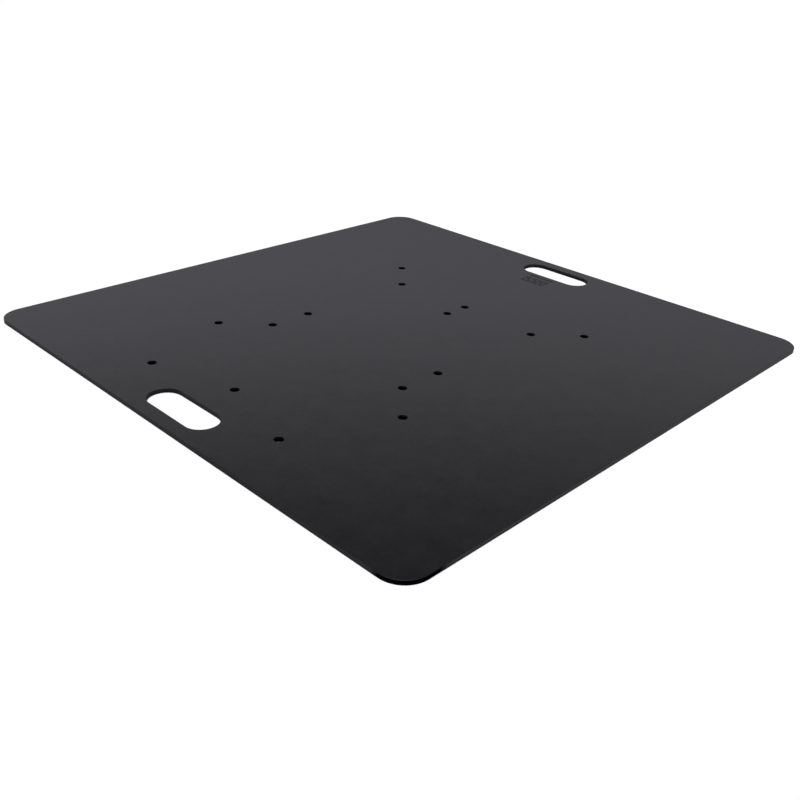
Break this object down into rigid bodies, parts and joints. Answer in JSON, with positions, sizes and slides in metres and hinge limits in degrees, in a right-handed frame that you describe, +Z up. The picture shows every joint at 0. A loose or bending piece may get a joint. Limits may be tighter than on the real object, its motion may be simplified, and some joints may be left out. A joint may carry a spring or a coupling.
{
  "type": "truss base plate",
  "caption": "Flat square steel ground plate for stage truss, with rounded corners, an oblong hand slot at two opposite edges, and screw holes in square and triangular truss patterns.",
  "frame": {"origin": "middle of the underside, which lies on the floor", "axes": "+Z up, out of the top face that the truss stands on; +X along the long sides of the hand slots, which are near the -Y and +Y edges; the off-centre truss pattern is shifted towards -Y"},
  "size_m": [0.75, 0.75, 0.005],
  "materials": {
    "powder_coat": "satin black polyester powder coat with a fine orange-peel texture"
  },
  "bodies": {
    "root": {"base_plate": "powder_coat"}
  },
  "joints": []
}
